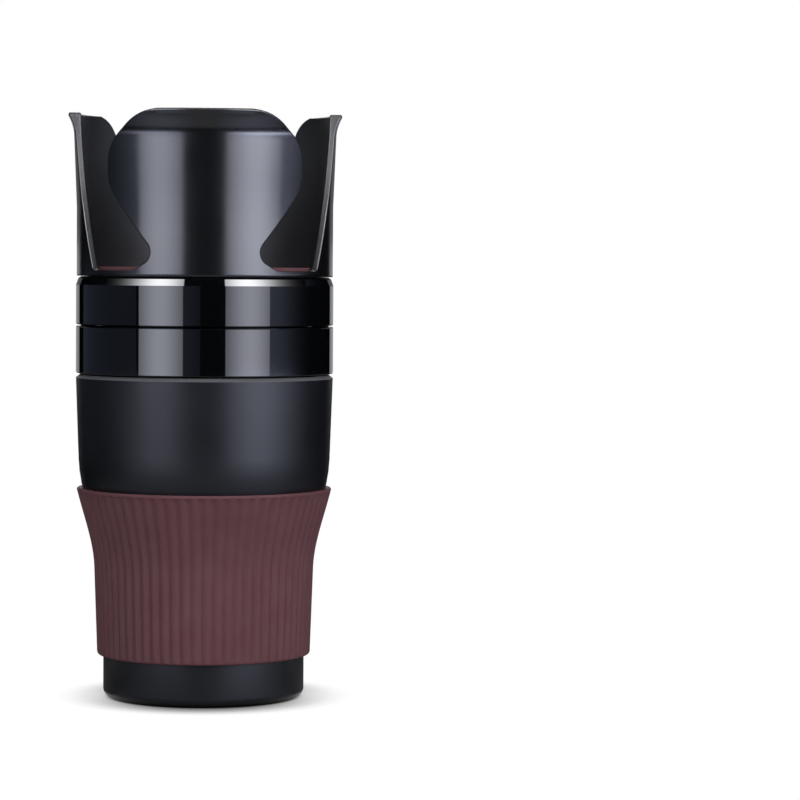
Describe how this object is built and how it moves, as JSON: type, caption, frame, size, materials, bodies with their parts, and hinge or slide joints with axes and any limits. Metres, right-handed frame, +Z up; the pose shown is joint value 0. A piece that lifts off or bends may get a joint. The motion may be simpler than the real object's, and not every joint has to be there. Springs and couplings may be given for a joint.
{
  "type": "car cup holder",
  "caption": "Stacking car cup holder: a tapered base cup with a ribbed grip, two flat swing-out rings and a four-petal holder that turn about one upright pivot",
  "frame": {"origin": "centre of the underside of the base cup", "axes": "+Z up through the column; -Y toward the wide front petal; the pivot stands at the back, toward +Y"},
  "size_m": [0.0956, 0.0956, 0.204],
  "materials": {
    "cup_plastic": "matte",
    "brown_silicone": "matte",
    "gloss_ring": "gloss",
    "holder_plastic": "satin",
    "steel": "zinc plated",
    "washer_plastic": "natural acetal"
  },
  "bodies": {
    "base": {"base_cup": "cup_plastic", "grip_sleeve": "brown_silicone", "pivot_bush": "steel", "pivot_screw": "steel", "pivot_nut": "steel", "lock_washer": "steel", "lower_slip_washer": "washer_plastic", "middle_slip_washer": "washer_plastic", "upper_slip_washer": "washer_plastic"},
    "lower_ring_body": {"lower_ring": "gloss_ring"},
    "upper_ring_body": {"upper_ring": "gloss_ring"},
    "holder_body": {"top_holder": "holder_plastic", "holder_pad": "brown_silicone"}
  },
  "joints": [
    {"name": "lower_ring_swing", "type": "hinge", "parent": "base", "child": "lower_ring_body", "pos_m": [0, 0.0376, 0.11925], "axis": [0, 0, 1], "continuous": true},
    {"name": "upper_ring_swing", "type": "hinge", "parent": "base", "child": "upper_ring_body", "pos_m": [0, 0.0376, 0.13845], "axis": [0, 0, 1], "continuous": true},
    {"name": "holder_swing", "type": "hinge", "parent": "base", "child": "holder_body", "pos_m": [0, 0.0376, 0.1475], "axis": [0, 0, 1], "continuous": true}
  ]
}
